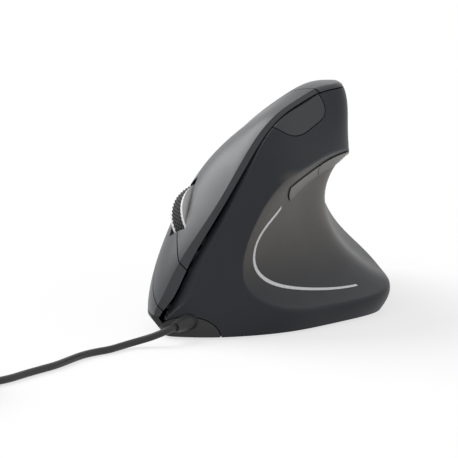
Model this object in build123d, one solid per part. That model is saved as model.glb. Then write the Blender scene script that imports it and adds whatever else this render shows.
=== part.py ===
from build123d import *
import math
import os

os.makedirs("parts", exist_ok=True)

# Frame: millimetres, +Z up, cable end towards -Y, thumb side towards +X,
# origin on the table under the middle of the body.

# Shell sizes
foot_height = 0.7
wall = 1.8
cover_wall = 1.2
floor_wall = 2.0
seam_gap = 0.4
front_seam_gap = 1.7
button_gap = 0.4
small_button_gap = 0.3
ridge_radius = 2.5
crease_radius = 1.5
bevel_on_cover = 2.6
bevel_on_front = 0.8
side_height = 6.2

# Fingers side: station y, left edge x, peak x, peak z
dome_rows = [
    (-65.0, -17.5, -2.0, 9.7),
    (-60.0, -22.8, -0.5, 18.4),
    (-55.0, -26.8, 3.2, 32.8),
    (-48.4, -30.2, 6.4, 45.0),
    (-39.7, -32.4, 8.2, 57.6),
    (-28.0, -33.0, 10.4, 66.6),
    (-12.0, -33.0, 13.0, 72.0),
    (4.0, -33.0, 11.0, 72.9),
    (20.0, -32.4, 5.0, 69.2),
    (36.0, -30.0, -3.0, 58.8),
    (48.0, -26.5, -8.0, 45.5),
    (56.0, -22.0, -10.5, 33.0),
    (66.0, -15.0, -12.0, 12.0),
]
dome_centre_z = 5.5
dome_fullness = 1.08
undercut_run = 4.5

# Thumb side: outline at the table, then how far each level leans in
outline_points = [
    (-30.0, -60.4), (-12.9, -59.6), (-5.3, -56.8), (1.2, -52.8), (10.3, -44.7), (18.1, -33.1),
    (24.8, -17.5), (28.9, -6.5), (28.2, 1.5), (23.6, 12.0), (17.8, 23.0), (12.0, 33.0),
    (6.0, 42.0), (-1.0, 50.0), (-9.0, 56.0), (-18.0, 59.0), (-30.0, 60.2),
]
# Level z, then the lean at the nose, front wall, thumb and heel
level_rows = [
    (-6.0, 0.0, 0.0, 0.0, 0.0),
    (0.7, 0.0, 0.0, 0.0, 0.0),
    (7.0, 0.2, -1.3, -2.8, -1.0),
    (22.0, 2.7, 1.9, 6.0, 3.0),
    (40.0, 6.2, 4.9, 10.0, 7.0),
    (56.0, 10.2, 9.2, 11.2, 11.0),
    (66.0, 13.6, 13.2, 11.6, 15.0),
    (72.0, 16.4, 16.2, 13.2, 19.0),
    (80.0, 21.9, 21.9, 17.5, 25.0),
]
outline_samples = 15

# Thumb scoop: station y, deepest x, middle z, top z, top reach, floor z, floor reach
scoop_rows = [
    (-64.0, 0.5, 20.0, 40.0, 26.0, 5.0, 22.0),
    (-50.0, 2.0, 22.0, 50.0, 28.0, 5.0, 22.0),
    (-40.0, 3.5, 27.0, 54.0, 28.0, 5.0, 23.0),
    (-29.0, 4.8, 31.0, 56.0, 29.0, 5.2, 26.0),
    (-18.0, 5.8, 33.0, 57.0, 28.0, 5.5, 31.0),
    (4.0, 7.2, 34.0, 58.0, 34.0, 6.8, 38.0),
    (20.0, 0.6, 34.0, 57.0, 32.0, 6.5, 36.0),
    (34.0, -5.5, 33.0, 54.0, 30.0, 6.5, 34.0),
    (48.0, -11.0, 32.0, 50.0, 30.0, 7.0, 32.0),
    (62.0, -16.0, 30.0, 46.0, 30.0, 8.0, 30.0),
    (76.0, -20.0, 28.0, 42.0, 30.0, 10.0, 30.0),
]
far = 90.0

# Fingers side: a plane on the surface under the wheel, x forward, y up the slope
finger = Plane(origin=(-20.3, -42.9, 37.4), x_dir=(0.076, -0.695, -0.715), z_dir=(-0.62, -0.59, 0.51))
cover_rear_y = -11.5
split_points = [
    (-70.0, -2.0), (-30.0, -0.5), (-8.3, 0.0), (8.8, 0.4), (16.6, 1.8), (20.3, 2.6), (22.5, 3.9),
    (27.0, 9.0),
]
lower_points = [
    (-70.0, -29.0), (-30.0, -21.0), (-8.0, -15.0), (5.8, -12.3), (14.0, -11.8), (23.7, -10.8), (29.0, -8.6),
    (38.0, -1.5),
]

# Scroll wheel
wheel_diameter = 24.0
wheel_proud = 3.0
tyre_width = 4.6
tyre_depth = 3.0
rim_width = 1.1
rim_step = 0.5
groove_count = 40
groove_size = 0.6
axle_diameter = 2.0
running_fit = 0.05
press_fit = 0.02
slot_gap = 0.8
slot_length = 19.0
optic_hole_count = 10
optic_hole = 1.6
optic_radius = 4.5

# Boards, switches and the gaps between them
board_gap = 1.5
board_thickness = 1.2
button_board_depth = 15.6
button_board_front = 19.0
button_board_rear = 22.0
button_board_side = 19.0
button_board_clear = 1.5
micro_length = 12.8
micro_width = 5.8
micro_height = 6.5
micro_seam = 0.15
micro_seam_height = 2.9
micro_forward = 1.0
micro_aside = 9.8
micro_plunger_length = 2.9
plunger_width = 1.2
plunger_proud = 0.8
plunger_hold = 1.5
plunger_gap = 0.1
plunger_room = 0.9
tact_size = 5.4
tact_height = 3.6
tact_proud = 0.95
tact_plunger = 2.4
rib_radius = 1.4
optic_length = 4.0
optic_width = 1.7
optic_height = 3.5
optic_gap = 1.2

# Wheel carrier and its bracket
carrier_height = 3.6
carrier_wall = 1.7
carrier_gap = 0.9
carrier_bar = 3.2
carrier_bar_gap = 1.4
carrier_step_front = -3.2
carrier_step_rear = -5.0
pin_depth = 11.4
pin_diameter = 1.6
post_width = 2.0
post_length = 4.0
post_gap = 0.4
post_top = 1.4
bracket_foot = 1.2

# Screws
screw_shank = 1.5
screw_head = 3.0
screw_head_height = 1.0
screw_length = 5.0
screw_slot = 0.4
screw_play = 0.15
boss_radius = 2.0
boss_hole_depth = 4.2
button_board_screws = [(-18.0, 12.0), (-18.5, -3.0)]
pillar_place = (-17.6, -36.8)

# Resolution button on the head wall
dpi_plane = Plane(origin=(9.5, -20.0, 62.0), x_dir=(0.45, 0.88, 0.0), z_dir=(0.87, -0.37, 0.32))
dpi_points = [
    (-22.0, 4.4), (-17.0, 1.5), (-12.4, -0.9), (-7.3, -3.7), (-3.4, -3.9), (4.0, -1.2), (8.7, 2.0), (9.1, 4.8),
    (8.5, 7.2), (5.0, 13.0), (2.0, 18.0),
]
dpi_switch_place = (-2.0, 2.5)
dpi_screws = [(11.8, 0.2), (11.8, 4.6)]
dpi_board_depth = 9.0
dpi_board_margin = 2.0

# Two buttons in the upper scoop
side_plane = Plane(origin=(10.6, -9.0, 46.0), x_dir=(0.0, 1.0, 0.0), z_dir=(0.82, -0.10, -0.56))
side_top_points = [(-17.4, -3.8), (-12.3, -1.8), (-3.0, 2.0), (3.8, 6.4), (10.0, 8.6), (16.0, 9.0)]
side_front_points = [(-17.4, -3.8), (-16.4, -6.4), (-13.1, -9.1)]
side_low_points = [(-13.1, -9.1), (-6.0, -5.6), (1.6, -2.3), (9.0, 0.3), (16.4, 3.4)]
side_rear_points = [(16.4, 3.4), (17.8, 6.6), (16.0, 9.0)]
side_split_points = [(-3.4, 9.0), (-2.6, 6.0), (-1.3, 0.9), (1.6, -2.3), (4.0, -6.0)]
side_proud = 0.4
side_board_depth = 8.6
side_board_length = 30.0
side_board_width = 13.0
side_board_shift = -0.7
side_switch_places = [(-9.5, -4.2), (8.0, 3.0)]
side_screws = [(-13.0, 2.4), (13.0, -2.6)]
chevron_points = [[(-3.5, -2.6), (-3.6, -4.3), (-6.5, -5.0)], [(6.0, 1.9), (5.2, -0.3)]]
chevron_width = 0.5
chevron_depth = 0.25

# Silver stripe
strip_plane = Plane(origin=(6.0, -30.0, 24.0), x_dir=(0, 1, 0), z_dir=(0.848, 0, 0.530))
strip_points = [
    (2.3, 10.9), (-6.0, 7.7), (-12.1, 3.4), (-13.2, -1.2), (-10.9, -6.2), (-4.0, -11.6), (5.1, -16.0),
    (13.6, -19.3), (21.3, -21.4),
]
strip_width = 1.3
strip_tip_width = 0.8
strip_depth = 0.6
strip_proud = 0.08
strip_play = 0.05

# Floor, main board and optics
main_board_z = 8.6
sensor_x = -8.0
sensor_y = -6.0
sensor_length = 12.4
sensor_width = 9.0
sensor_height = 2.4
lens_length = 17.0
lens_width = 12.0
lens_flange = 1.6
window_length = 9.0
window_width = 7.0
window_play = 0.2
led_diameter = 3.0
led_length = 6.0
led_lift = 0.4
led_clip_start = 1.8
led_clip_length = 3.0
main_screws = [(-24.0, -34.0), (-26.0, 6.0), (-16.0, 40.0), (-4.0, -40.0)]
main_post_radius = 2.4
palm_posts = [(-25.2, -6.5), (-23.8, 24.0)]
thumb_posts = [(7.0, -41.0), (-6.0, 40.0)]
thumb_post_top = 30.0
case_post_radius = 2.6
case_screw_shank = 2.0
case_screw_head = 4.0
case_screw_length = 9.0
case_seat_depth = 1.2
ballast_length = 24.0
ballast_width = 18.0
ballast_thickness = 3.0
ballast_x = -11.0
ballast_y = 22.0
foot_gap = 0.02
foot_recess = 0.4
foot_width = 6.0

# Cable exit
exit_x = -11.6
exit_z = 5.4
exit_wall_y = -59.2
cord_diameter = 2.2
boot_diameter = 5.0
boot_tip_diameter = 3.4
boot_length = 6.0
boot_flange_diameter = 5.8
flange_clear = 0.8
boot_flange = 1.2
chin_width = 19.6
chin_height = 6.2
cord_fit = 0.03
screw_recess = 0.55
screw_cross = 0.32

# Free cord from the strain relief to the coil, and the tail from the coil to the plug
cord_points = [
    (-15.6, -69.6, 3.8), (-18.0, -71.4, 2.8), (-20.6, -73.2, 2.0), (-22.9, -75.8, 1.4), (-24.4, -79.4, 1.15),
    (-25.5, -83.6, 1.1), (-27.4, -86.9, 1.1), (-29.2, -90.6, 1.1), (-30.2, -95.0, 1.1), (-30.7, -100.6, 1.1),
    (-31.3, -106.4, 1.1), (-33.0, -112.2, 1.1), (-34.7, -118.4, 1.1), (-36.0, -124.9, 1.1), (-38.2, -130.6, 1.3),
    (-40.9, -135.2, 1.6), (-42.0, -139.4, 1.7), (-42.0, -143.0, 1.7),
]
first_run = 2.6
boot_neck = 3.4
corner_share = 0.45
coil_x = -60.0
coil_y = -145.2
coil_height = 1.7
coil_outer_radius = 18.0
coil_turns = 4.5
coil_layers = 4
coil_pitch = 2.72
coil_climb_aside = 0.3
coil_climb_steepness = 1.3
tail_first_run = 4.6
tail_last_run = 5.0
tail_points = [(-42.8, -156.5, 11.2), (-46.7, -159.5, 13.7)]
plug_x = -62.3
plug_y = -157.9
plug_gap = 0.3
plug_length = 20.0
plug_width = 15.4
plug_height = 7.4
plug_round = 1.8
plug_neck = 6.0
plug_neck_diameter = 3.6
contact_length = 12.0
contact_width = 12.0
contact_height = 4.5
contact_wall = 0.35
contact_depth = 6.0
latch_hole = 2.4
tie_width = 5.0
tie_thickness = 0.5
tie_gap = 0.1
tie_turn = 90.0

# Inner lead, socket, ribbon
socket_length = 7.0
socket_width = 5.0
socket_height = 3.2
socket_x = -9.0
socket_y = -41.0
lead_notch = 4.0
lead_notch_back = 1.5
inner_straight = 2.6
inner_last_run = 3.7
inner_lead_points = [(-9.45, -50.9, 8.3)]
ribbon_width = 6.0
ribbon_thickness = 0.3
ribbon_x = -15.0
ribbon_y = -22.0
ribbon_points = [(0.0, 9.82), (0.1, 14.0), (2.6, 28.0), (3.0, 34.0)]


def block(x0, x1, y0, y1, z0, z1):
    middle = Pos((x0 + x1) / 2, (y0 + y1) / 2, (z0 + z1) / 2)
    return middle * Box(x1 - x0, y1 - y0, z1 - z0)


def rod(x, y, z0, z1, radius):
    return Pos(x, y, (z0 + z1) / 2) * Cylinder(radius, z1 - z0)


def section(y, edges):
    """A closed face in the plane at y, from edges drawn as (x, z)."""
    plane = Plane(origin=(0, y, 0), x_dir=(1, 0, 0), z_dir=(0, -1, 0))
    return Face(Wire([plane.from_local_coords(edge) for edge in edges]))


def row_slope(rows, index, column):
    before = rows[max(index - 1, 0)]
    after = rows[min(index + 1, len(rows) - 1)]
    return (after[column] - before[column]) / (after[0] - before[0])


def front_fade(y):
    """1 at the nose, 0 behind the lower part of the front seam."""
    share = min(max((-36.0 - y) / 20.0, 0.0), 1.0)
    return share * share * (3 - 2 * share)


def dome(inset=0.0, front_inset=0.0):
    """Solid under the fingers side, its curved side moved in by inset."""
    faces = []
    for index, (y, left, peak, top) in enumerate(dome_rows):
        depth = inset + front_inset * front_fade(y)
        rise = row_slope(dome_rows, index, 3)
        run = row_slope(dome_rows, index, 1)
        shift = depth * rise / math.hypot(1, rise)
        x_left = left + run * shift + depth * math.hypot(1, run)
        z_top = top - depth / math.hypot(1, rise)
        points = []
        for step in range(6):
            turn = math.pi / 2 * step / 5
            x = peak - (peak - x_left) * math.cos(turn)
            z = dome_centre_z + (z_top - dome_centre_z) * math.sin(turn) ** dome_fullness
            points.append((x, z))
        curve = Spline(*points, tangents=[(0, 1), (1, 0)])
        z_low = -dome_centre_z
        x_low = x_left + undercut_run * (dome_centre_z - z_low) / (dome_centre_z - foot_height)
        edges = [
            curve.edges()[0],
            Edge.make_line(points[-1], (far, z_top)),
            Edge.make_line((far, z_top), (far, z_low)),
            Edge.make_line((far, z_low), (x_low, z_low)),
            Edge.make_line((x_low, z_low), points[0]),
        ]
        faces.append(section(y + shift, edges))
    return loft(faces)


def lean_at(share, nose, front, thumb, heel):
    """Lean of the wall at a share of the outline's length."""
    keys = [(0.0, nose), (0.12, nose), (0.30, front), (0.52, thumb), (0.62, thumb), (1.0, heel)]
    for (s0, v0), (s1, v1) in zip(keys, keys[1:]):
        if share <= s1:
            k = (share - s0) / (s1 - s0)
            return v0 + (v1 - v0) * k * k * (3 - 2 * k)
    return heel


def envelope(inset=0.0):
    """Solid inside the front wall, thumb side and heel, moved in by inset."""
    outline = Spline(*outline_points)
    faces = []
    for z, nose, front, thumb, heel in level_rows:
        points = []
        for index in range(outline_samples):
            share = index / (outline_samples - 1)
            place = outline.position_at(share)
            along = outline.tangent_at(share)
            lean = inset + lean_at(share, nose, front, thumb, heel)
            points.append((place.X - along.Y * lean, place.Y + along.X * lean, z))
        curve = Spline(*points)
        first = points[0]
        last = points[-1]
        corner_a = (-far, first[1], z)
        corner_b = (-far, last[1], z)
        edges = [
            curve.edges()[0],
            Edge.make_line(last, corner_b),
            Edge.make_line(corner_b, corner_a),
            Edge.make_line(corner_a, first),
        ]
        faces.append(Face(Wire(edges)))
    return loft(faces)


def scoop(grow=0.0):
    """The hollow for the thumb, grown by grow."""
    faces = []
    for y, deep, middle, top, top_reach, low, low_reach in scoop_rows:
        points = []
        for step in range(-4, 5):
            turn = math.pi / 2 * step / 4
            reach = (low_reach if step < 0 else top_reach) + grow
            height = (middle - low if step < 0 else top - middle) + grow
            points.append((deep - grow + reach * (1 - math.cos(turn)), middle + height * math.sin(turn)))
        curve = Spline(*points, tangents=[(-1, 0), (1, 0)])
        low_point = points[0]
        top_point = points[-1]
        edges = [
            curve.edges()[0],
            Edge.make_line(top_point, (far, top_point[1])),
            Edge.make_line((far, top_point[1]), (far, low_point[1])),
            Edge.make_line((far, low_point[1]), low_point),
        ]
        faces.append(section(y, edges))
    return loft(faces)


def local_points(plane, points):
    """Points in space as (x, y) pairs in a plane's own axes."""
    pairs = []
    for point in points:
        near = plane.to_local_coords(Vector(*point))
        pairs.append((near.X, near.Y))
    return pairs


def prism(plane, face, low, high):
    """A face drawn in a plane's own axes, extruded from low to high along its normal."""
    solid = extrude(face, amount=high - low, dir=(0, 0, 1))
    return plane.location * Pos(0, 0, low) * solid


def placed(plane, shape):
    return plane.location * shape


def pocket_block(plane, x0, x1, y0, y1, z0, z1):
    return placed(plane, block(x0, x1, y0, y1, z0, z1))


def one_solid(shape):
    """The largest solid of a cut shape, without slivers."""
    return max(shape.solids(), key=lambda solid: solid.volume)


def ridge_edges(solid, dome_solid, envelope_solid, scoop_solid):
    """Edges where the fingers side meets the thumb side, and where the scoop meets the wall."""
    def touches(form, edge):
        spots = [Vertex(*edge.position_at(share)) for share in (0.3, 0.6)]
        return max(min(face.distance_to(spot) for face in form.faces()) for spot in spots) < 0.01
    ridge = []
    crease = []
    for edge in solid.edges():
        if edge.position_at(0.5).Z < foot_height + 0.1:
            continue
        on_dome = touches(dome_solid, edge)
        on_wall = touches(envelope_solid, edge)
        on_scoop = touches(scoop_solid, edge)
        if on_dome and on_wall and not on_scoop:
            ridge.append(edge)
        if on_wall and on_scoop and not on_dome:
            crease.append(edge)
    return ridge, crease


def curve_face(points, closing):
    """A face bounded by a smooth curve through points and straight lines through closing."""
    curve = Spline(*points)
    corners = [points[-1]] + closing + [points[0]]
    edges = [curve.edges()[0]]
    for start, end in zip(corners, corners[1:]):
        edges.append(Edge.make_line(start, end))
    return Face(Wire(edges))


def moved_points(points, dx, dy):
    return [(x + dx, y + dy) for x, y in points]


def beside_points(points, distance):
    """Points moved square to the line they draw, to its left for a positive distance."""
    moved = []
    last = len(points) - 1
    for index, (x, y) in enumerate(points):
        before = points[max(index - 1, 0)]
        after = points[min(index + 1, last)]
        dx = after[0] - before[0]
        dy = after[1] - before[1]
        size = math.hypot(dx, dy)
        moved.append((x - dy / size * distance, y + dx / size * distance))
    return moved


def closed_outline(lines, gap):
    """A face inside lines drawn anticlockwise, each moved in by gap."""
    rows = [beside_points(line, gap) for line in lines]
    for index, row in enumerate(rows):
        following = rows[(index + 1) % len(rows)]
        corner = ((row[-1][0] + following[0][0]) / 2, (row[-1][1] + following[0][1]) / 2)
        row[-1] = corner
        following[0] = corner
    return Face(Wire([Spline(*row).edges()[0] for row in rows]))


def band_face(points, widths):
    """A face along a smooth line, as wide at each point as widths says."""
    left = []
    right = []
    for index, width in enumerate(widths):
        left.append(beside_points(points, width / 2)[index])
        right.append(beside_points(points, -width / 2)[index])
    edges = [
        Spline(*left).edges()[0],
        Edge.make_line(left[-1], right[-1]),
        Spline(*right[::-1]).edges()[0],
        Edge.make_line(right[0], left[0]),
    ]
    return Face(Wire(edges))


def cross_rod(x, z, y0, y1, radius):
    """A cylinder along Y."""
    return Pos(x, (y0 + y1) / 2, z) * Rot(90, 0, 0) * Cylinder(radius, y1 - y0)


def cross_ring(x, z, y0, y1, outer, inner):
    return cross_rod(x, z, y0, y1, outer) - cross_rod(x, z, y0 - 1, y1 + 1, inner)


def screw(shank, head, head_height, length):
    """A pan head screw, its seat at z = 0 and its shank below."""
    body = rod(0, 0, 0, head_height, head / 2) + rod(0, 0, -length, 0, shank / 2)
    low = head_height * (1 - screw_recess)
    arm = head * screw_cross
    half = screw_slot / 2
    cross = block(-arm, arm, -half, half, low, far) + block(-half, half, -arm, arm, low, far)
    return body - cross


def board_screw():
    return screw(screw_shank, screw_head, screw_head_height, screw_length)


def grouped(shapes):
    """Separate solids kept together as one group."""
    return Compound(children=[solid for shape in shapes for solid in shape.solids()])


def trimmed_post(post, start):
    """A post cut off in the middle of the wall it grows from, the part nearest to start."""
    inside = (post & mid_dome & mid_envelope) - mid_scoop
    return min(inside.solids(), key=lambda solid: solid.distance_to(Vertex(*start)))


def micro_switch(aside):
    """Switch body with a pocket for its plunger, in the finger plane's axes."""
    low = -button_board_depth
    body = block(micro_forward - micro_length / 2, micro_forward + micro_length / 2,
                 aside - micro_width / 2, aside + micro_width / 2, low, low + micro_height)
    length = micro_plunger_length / 2 + plunger_gap
    width = plunger_width / 2 + plunger_gap
    pocket = block(micro_forward - length, micro_forward + length, aside - width, aside + width,
                   low + micro_height - plunger_hold - plunger_room, far)
    seam_low = low + micro_seam_height
    seam = block(-far, far, -far, far, seam_low, seam_low + micro_seam)
    core_length = micro_length / 2 - micro_seam
    core_width = micro_width / 2 - micro_seam
    core = block(micro_forward - core_length, micro_forward + core_length,
                 aside - core_width, aside + core_width, -far, far)
    return body - pocket - (seam - core)


def micro_plunger(aside):
    top = -button_board_depth + micro_height
    return block(micro_forward - micro_plunger_length / 2, micro_forward + micro_plunger_length / 2,
                 aside - plunger_width / 2, aside + plunger_width / 2, top - plunger_hold, top + plunger_proud)


def tact_switch(x, y, low):
    """Small square switch, seated at low, with a round pocket for its plunger."""
    half = tact_size / 2
    body = block(x - half, x + half, y - half, y + half, low, low + tact_height)
    pocket = rod(x, y, low + tact_height - plunger_hold - plunger_room / 2, far, tact_plunger / 2 + plunger_gap)
    return body - pocket


def tact_plunger_rod(x, y, low):
    top = low + tact_height
    return rod(x, y, top - plunger_hold, top + tact_proud, tact_plunger / 2)


def board_with_holes(board, places, low, high):
    """A board in its own plane's axes, drilled for its screws."""
    drills = [rod(x, y, low - 1, high + 1, screw_shank / 2 + screw_play) for x, y in places]
    return board - drills


def biarc(p0, t0, p1, t1):
    """Two arcs that leave p0 along t0 and reach p1 along t1."""
    chord = p1 - p0
    both = t0 + t1
    a = 2 * t0.dot(t1) - 2
    b = -2 * chord.dot(both)
    c = chord.dot(chord)
    if abs(a) < 1e-9:
        reach = -c / b
    else:
        reach = (-b - math.sqrt(b * b - 4 * a * c)) / (2 * a)
    first = p0 + t0 * reach
    second = p1 - t1 * reach
    middle = (first + second) * 0.5
    heading = (second - first).normalized()
    return [Edge.make_tangent_arc(p0, t0, middle), Edge.make_tangent_arc(middle, heading, p1)]


def coil_keys():
    """Places and headings of the coil at every quarter turn, in and out layer by layer."""
    keys = []
    steps = int(coil_turns * 4)
    radius = coil_outer_radius
    height = coil_height
    inward = True
    turn = 0.0
    keys.append((radius, height, turn, 0.0))
    for layer in range(coil_layers):
        for step in range(steps - 2 if layer < coil_layers - 1 else steps):
            turn += math.pi / 2
            radius += coil_pitch / 4 * (-1 if inward else 1)
            keys.append((radius, height, turn, 0.0))
        if layer < coil_layers - 1:
            slope = math.atan2(coil_pitch, math.pi * radius)
            turn += math.pi / 2
            aside = coil_pitch * coil_climb_aside * (-1 if inward else 1)
            keys.append((radius + aside, height + coil_pitch / 2, turn, slope * coil_climb_steepness))
            turn += math.pi / 2
            height += coil_pitch
            keys.append((radius, height, turn, 0.0))
        inward = not inward
    places = []
    for radius, height, turn, slope in keys:
        place = Vector(coil_x + radius * math.cos(turn), coil_y - radius * math.sin(turn), height)
        heading = Vector(-math.sin(turn) * math.cos(slope), -math.cos(turn) * math.cos(slope), math.sin(slope))
        places.append((place, heading))
    return places


def least_self_gap(edges):
    """Smallest gap between stretches of the coil that aren't next to each other along it."""
    spots = []
    for edge in edges:
        for share in (0.0, 0.2, 0.4, 0.6, 0.8):
            spots.append(edge.position_at(share))
    least = far
    skip = 3 * int(math.pi * coil_pitch)
    for index, spot in enumerate(spots):
        for other in spots[index + skip:]:
            least = min(least, (other - spot).length)
    return least - cord_diameter


def swept_tube(path, radius):
    start = Plane(origin=path @ 0, z_dir=path % 0)
    return sweep(start * Circle(radius), path=path)


def corner_radii(points):
    """Largest neat arc at each corner of a route, from its two runs and its turn."""
    radii = []
    for before, corner, after in zip(points, points[1:], points[2:]):
        first = Vector(*corner) - Vector(*before)
        second = Vector(*after) - Vector(*corner)
        turn = math.radians(first.get_angle(second))
        radii.append(corner_share * min(first.length, second.length) / math.tan(turn / 2))
    return radii


# Whole forms
outer_dome = dome()
outer_envelope = envelope()
outer_scoop = scoop()
above_table = block(-far, far, -far, far, foot_height, far)
raw_hull = one_solid((outer_dome & outer_envelope & above_table) - outer_scoop)
crease = ridge_edges(raw_hull, outer_dome, outer_envelope, outer_scoop)[1]
soft_hull = one_solid(fillet(crease, crease_radius))
ridge = ridge_edges(soft_hull, outer_dome, outer_envelope, outer_scoop)[0]
hull = one_solid(fillet(ridge, ridge_radius))
front_ridge = [edge for edge in ridge if edge.position_at(0.5).Y < cover_rear_y - 15]
cover_hull = one_solid(chamfer(front_ridge, bevel_on_cover, bevel_on_front))

floor_top = foot_height + floor_wall
skin_dome = dome(cover_wall)
mid_dome = dome(cover_wall / 2)
mid_envelope = envelope(wall / 2)
mid_scoop = scoop(wall / 2)
inner_envelope = envelope(wall)
inner_scoop = scoop(wall)
above_floor = block(-far, far, -far, far, floor_top, far)
board_room = (dome(wall + board_gap) & envelope(wall + board_gap) & above_floor) - scoop(wall + board_gap)
rear_zone = block(-far, far, cover_rear_y, far, -far, far)
front_zone = block(-far, far, -far, cover_rear_y, -far, far)

nodes = {}

# Fingers side: two click plates and the palm shell
front_skin = (cover_hull & front_zone) - skin_dome
rear_skin = (hull & rear_zone) - skin_dome
half_gap = button_gap / 2
split_up = curve_face(moved_points(split_points, 0, half_gap), [(27.0, 60.0), (-70.0, 60.0)])
split_down = curve_face(moved_points(split_points, 0, -half_gap), [(60.0, -30.0), (-70.0, -60.0)])
lower_up = curve_face(moved_points(lower_points, 0, half_gap), [(60.0, 60.0), (-70.0, 60.0)])
lower_down = curve_face(moved_points(lower_points, 0, -half_gap), [(60.0, 60.0), (-70.0, 60.0)])
click_zone = block(-far, far, -far, cover_rear_y - button_gap, -far, far)
skin_reach = 40.0
wheel_radius = wheel_diameter / 2
axis_depth = wheel_radius - wheel_proud
slot_half_width = tyre_width / 2 + rim_width + slot_gap
slot = block(-slot_length / 2, slot_length / 2, -slot_half_width, slot_half_width, -skin_reach, skin_reach)
wheel_room = cross_rod(0, -axis_depth, -slot_half_width, slot_half_width, wheel_radius + slot_gap)
slot_cut = placed(finger, slot + wheel_room)
upper_zone = prism(finger, split_up, -skin_reach, skin_reach)
lower_zone = prism(finger, split_down, -skin_reach, skin_reach)
lower_zone &= prism(finger, lower_up, -skin_reach, skin_reach)
click_skin = front_skin & click_zone
left_plate = one_solid((click_skin & upper_zone) - slot_cut)
right_plate = one_solid((click_skin & lower_zone) - slot_cut)
palm_front = front_skin - prism(finger, lower_down, -skin_reach, skin_reach)
above_side = block(-far, far, -far, far, side_height + seam_gap, far)
palm = one_solid((palm_front + rear_skin) & above_side)

# Front wall, head, scoop and flange
thumb_zone = dome(cover_wall + seam_gap, front_seam_gap - seam_gap)
inner_space = (inner_envelope & above_floor) - inner_scoop
low_inside = inner_envelope & block(-far, far, -far, far, -far, floor_top)
thumb = one_solid((hull & thumb_zone) - inner_space - low_inside)

# Openings in the thumb shell for the small buttons, the stripe, the chin and the cable
dpi_reach = 7.0
dpi_top = [(-10.0, 26.0)]
dpi_opening = prism(dpi_plane, curve_face(dpi_points, dpi_top), -dpi_reach, dpi_reach)
dpi_inside = beside_points(dpi_points, small_button_gap)
dpi_zone = prism(dpi_plane, curve_face(dpi_inside, dpi_top), -dpi_reach, dpi_reach)
side_lines = [side_front_points, side_low_points, side_rear_points, side_top_points[::-1]]
side_reach = 9.0
side_opening = prism(side_plane, closed_outline(side_lines, 0), -side_reach, side_reach)
side_zone = prism(side_plane, closed_outline(side_lines, small_button_gap), -side_reach, side_reach)
split_band = band_face(side_split_points, [small_button_gap] * len(side_split_points))
split_cut = prism(side_plane, split_band, -side_reach, side_reach)

strip_middle = len(strip_points) // 2
strip_widths = []
for index in range(len(strip_points)):
    share = abs(index - strip_middle) / strip_middle
    strip_widths.append(strip_width + (strip_tip_width - strip_width) * share)
groove_widths = [width + 2 * strip_play for width in strip_widths]
strip_reach = 26.0
strip_zone = prism(strip_plane, band_face(strip_points, strip_widths), -strip_reach, strip_reach)
groove_zone = prism(strip_plane, band_face(strip_points, groove_widths), -strip_reach, strip_reach)
strip_floor = scoop(strip_depth)
groove_floor = scoop(strip_depth + strip_play)
proud_scoop = scoop(-strip_proud)
raised_scoop = scoop(-side_proud)
nodes["trim_strip"] = one_solid((strip_zone & strip_floor) - proud_scoop)
groove = (groove_zone & groove_floor) - raised_scoop

chin_plane = Plane(origin=(exit_x, exit_wall_y, foot_height), x_dir=(0.956, 0.293, 0), z_dir=(0.293, -0.956, 0))
chin_reach = 8.0
chin_zone = prism(chin_plane, Ellipse(chin_width / 2, chin_height).face(), -chin_reach, chin_reach)
chin_grown = Ellipse(chin_width / 2 + small_button_gap, chin_height + small_button_gap)
chin_opening = prism(chin_plane, chin_grown.face(), -chin_reach, chin_reach)
exit_plane = Plane(origin=(exit_x, exit_wall_y, exit_z), x_dir=(0.965, -0.25, 0), z_dir=(-0.25, -0.965, -0.08))
boot_hole = placed(exit_plane, rod(0, 0, -boot_length, boot_length, boot_diameter / 2 + press_fit))

# Small buttons, each with a rib behind it that reaches to its plunger
dpi_low = -dpi_board_depth
dpi_rib_top = dpi_low + tact_height + tact_proud + plunger_gap
dpi_x, dpi_y = dpi_switch_place
dpi_cap = one_solid(thumb & dpi_zone)
dpi_rib = placed(dpi_plane, rod(dpi_x, dpi_y, dpi_rib_top, dpi_reach, rib_radius))
nodes["dpi_button"] = one_solid(dpi_cap + (dpi_rib & mid_envelope))
side_layer = inner_scoop - raised_scoop
side_caps = (side_layer & side_zone & outer_envelope) - split_cut
side_caps = sorted(side_caps.solids(), key=lambda solid: -solid.volume)[:2]
side_caps = sorted(side_caps, key=lambda solid: solid.center().Y)
side_low = -side_board_depth
side_rib_top = side_low + tact_height + tact_proud + plunger_gap
for name, cap, place, marks in zip(("forward_button", "back_button"), side_caps, side_switch_places,
                                   chevron_points):
    rib = placed(side_plane, rod(place[0], place[1], side_rib_top, side_reach, rib_radius))
    button = cap + (rib - mid_scoop)
    for start, end in zip(marks, marks[1:]):
        middle = ((start[0] + end[0]) / 2, (start[1] + end[1]) / 2)
        mark = band_face([start, middle, end], [chevron_width] * 3)
        button -= prism(side_plane, mark, -side_reach, side_reach) - scoop(chevron_depth - side_proud)
    nodes[name] = one_solid(button)

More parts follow.
